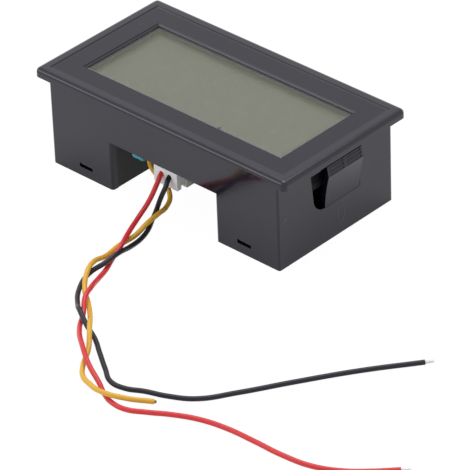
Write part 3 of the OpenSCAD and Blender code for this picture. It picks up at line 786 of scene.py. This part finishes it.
board = Finish("green solder mask", IOR=1.5)
x = board.at.axis("X")
y = board.at.axis("Y")
across = ((x + board.noise(9.0) * 6.0) / TRACK_PITCH).math("FRACT")
along = ((y + board.noise(7.0) * 5.0) / TRACK_PITCH).math("FRACT")
tracks = (across.step(0.62, 0.66) * board.noise(5.0).step(0.47, 0.5)
          + along.step(0.62, 0.66) * board.noise(6.0).step(0.5, 0.53)).clamp()
mask_colour = tracks.colour(rgb(0.012, 0.09, 0.045), rgb(0.03, 0.16, 0.07))
# Painted shade: the board's two ends are coloured nearly black.
ends_painted_shade = x.math("ABSOLUTE").step(BOARD_END_X, BOARD_END_X + 0.1)
board.set("Base Color", ends_painted_shade.colour(mask_colour, rgb(0.006, 0.006, 0.009)))
board.set("Roughness", 0.22 + board.noise(0.3) * 0.15 + ends_painted_shade * 0.5)
board.bump(tracks, 0.035)
dress(board, "pcb")
round_edges(0.1, "pcb")
print("board is dressed")

# %% [markdown]
# ### Resistors
# A resistor's lacquer is one colour with painted bands across it. The bands are a
# function of the place along the body, and so is the change to tinned metal where
# the legs begin.

# %% Resistors
BODY_HALF = 1.76
BAND_W = 0.2
BAND_PLACES = (-1.25, -0.6, 0.0, 0.6, 1.25)


def banded(name, base, stripes, middle):
    """Lacquer with painted bands across X, and bare tinned legs beyond the body."""
    finish = Finish(name, IOR=1.5)
    x = finish.at.axis("X") - middle
    mottle = finish.noise(0.4, detail=2)
    colour = mottle.colour(tuple(0.82 * c for c in base[:3]) + (1.0,), base)
    for place, paint in zip(BAND_PLACES, stripes):
        ring = 1 - (x - place).math("ABSOLUTE").step(BAND_W / 2 - 0.03, BAND_W / 2 + 0.03)
        colour = ring.colour(colour, paint)
    leg = x.math("ABSOLUTE").step(BODY_HALF - 0.02, BODY_HALF + 0.02)
    finish.set("Base Color", leg.colour(colour, rgb(0.6, 0.6, 0.6)))
    finish.set("Metallic", leg)
    finish.set("Roughness", 0.2 + mottle * 0.15 + leg * 0.1)
    return finish.bump(mottle, 0.01)


BLUE = rgb(0.025, 0.40, 0.52)
DEEP_BLUE = rgb(0.02, 0.28, 0.37)
TAN = rgb(0.62, 0.44, 0.25)
BROWN = rgb(0.12, 0.04, 0.015)
BLACK = rgb(0.01, 0.01, 0.01)
RED = rgb(0.55, 0.03, 0.02)
GOLD = rgb(0.22, 0.15, 0.05)


def resistor_finish(name, base, stripes):
    """Dresses one resistor, with its bands counted from the middle of its own box."""
    low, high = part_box(name)
    middle = (low.x + high.x) / 2 / MM
    dress(banded(name.replace("_", " "), base, stripes, middle), name)


resistor_finish("resistor_input", BLUE, [DEEP_BLUE] * 4 + [BROWN])
resistor_finish("resistor_divider", BLUE, [RED, BLACK, BLACK, BROWN, BROWN])
resistor_finish("resistor_reference", BLUE, [BROWN, RED, BLACK, BLACK, BROWN])
resistor_finish("resistor_oscillator", TAN, [BROWN, BLACK, GOLD])
print("resistors are banded")

# %% [markdown]
# ### Capacitors and the chip
# Dipped capacitors have a thick, uneven skin of resin, so their edges are rounded
# well and their gloss is mottled. The chip is a drop of black potting resin.

# %% Capacitors and chip
LEGS_Z = BOARD_Z - 0.3


def dipped(name, light, dark, nodes_named):
    """Dipped resin or a sleeve up to just below the board, and bare tinned legs above."""
    finish = Finish(name, IOR=1.5)
    mottle = finish.noise(0.8, detail=3)
    leg = finish.at.axis("Z").step(LEGS_Z - 0.02, LEGS_Z + 0.02)
    finish.set("Base Color", leg.colour(mottle.colour(dark, light), rgb(0.6, 0.6, 0.6)))
    finish.set("Metallic", leg)
    finish.set("Roughness", 0.22 + mottle * 0.2)
    finish.bump(mottle, 0.03)
    dress(finish, *nodes_named)


dipped("brown dipped resin", rgb(0.42, 0.17, 0.045), rgb(0.3, 0.11, 0.03),
       ["capacitor_reference", "capacitor_integrator"])
dipped("dark blue sleeve", rgb(0.03, 0.045, 0.14), rgb(0.02, 0.03, 0.1), ["capacitor_supply"])
round_edges(0.5, "capacitor_reference", "capacitor_integrator")
round_edges(0.3, "capacitor_supply")

resin = Finish("black potting resin", IOR=1.52)
flow = resin.noise(1.5, detail=2)
resin.set("Base Color", flow.colour(rgb(0.008, 0.008, 0.009), rgb(0.014, 0.014, 0.015)))
resin.set("Roughness", 0.12 + flow * 0.2)
resin.bump(flow, 0.05)
dress(resin, "controller_chip")
print("parts on the board are dressed")

# %% [markdown]
# ### Trimmer, holder and elastomer strips
# The other plastics are plain, with a fine grain. The elastomer strips, which
# carry the display's signals, are built of thin black conducting and pink insulating
# layers in turn, so their side is striped along its whole length.

# %% Trimmer, holder and strips
LAYER_PITCH = 0.36


def plain_plastic(name, light, dark, haze, ior=1.5):
    """Moulded plastic with a little grain."""
    finish = Finish(name, IOR=ior)
    grain = finish.noise(0.2, detail=3)
    finish.set("Base Color", grain.colour(dark, light))
    finish.set("Roughness", haze + grain * 0.18)
    return finish.bump(grain, 0.01)


dress(plain_plastic("blue plastic", rgb(0.05, 0.19, 0.55), rgb(0.035, 0.14, 0.45), 0.3),
      "trimmer_body")
dress(plain_plastic("white rotor plastic", rgb(0.78, 0.76, 0.7), rgb(0.68, 0.66, 0.6), 0.35),
      "trimmer_rotor")
dress(plain_plastic("black holder plastic", rgb(0.008, 0.008, 0.012),
                    rgb(0.005, 0.005, 0.008), 0.6, ior=1.3),
      "lcd_holder")
round_edges(0.12, "trimmer_body", "trimmer_rotor", "lcd_holder")

strips = Finish("banded elastomer", IOR=1.42)
lines = (strips.at.axis("X") / LAYER_PITCH).math("FRACT").step(0.45, 0.55)
strips.set("Base Color", lines.colour(rgb(0.55, 0.30, 0.28), rgb(0.02, 0.02, 0.02)))
strips.set("Roughness", 0.5 + strips.noise(0.2) * 0.15)
strips.bump(lines, 0.01)
dress(strips, "zebra_strip_front", "zebra_strip_back")
print("every CAD piece has a finish:", all(o.data.materials for o in nodes.values()))
